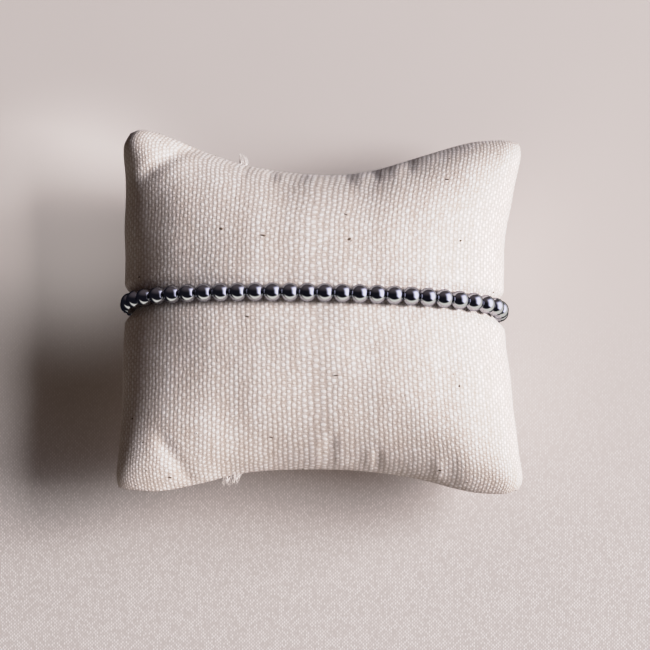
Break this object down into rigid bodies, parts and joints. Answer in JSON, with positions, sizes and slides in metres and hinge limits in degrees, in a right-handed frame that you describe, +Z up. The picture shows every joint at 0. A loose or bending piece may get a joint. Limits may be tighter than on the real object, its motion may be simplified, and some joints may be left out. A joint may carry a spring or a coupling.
{
  "type": "beaded bracelet on display pillow",
  "caption": "Stretch bracelet of round polished metal beads, shown round a small stuffed canvas display pillow that lies on its back.",
  "frame": {"origin": "under the middle of the whole object, on the surface that it rests on", "axes": "+X along the pillow's width, +Y from its bottom seam to its top seam, +Z up, out of its front"},
  "size_m": [0.088, 0.0798, 0.0387],
  "materials": {
    "bead_metal": "mirror polished steel",
    "elastic": "smooth stretch cord",
    "canvas": "plain woven unbleached cotton canvas"
  },
  "bodies": {
    "root": {"beads_front": "bead_metal", "beads_right": "bead_metal", "beads_back": "bead_metal", "beads_left": "bead_metal", "stretch_cord": "elastic", "display_pillow": "canvas"}
  },
  "joints": []
}
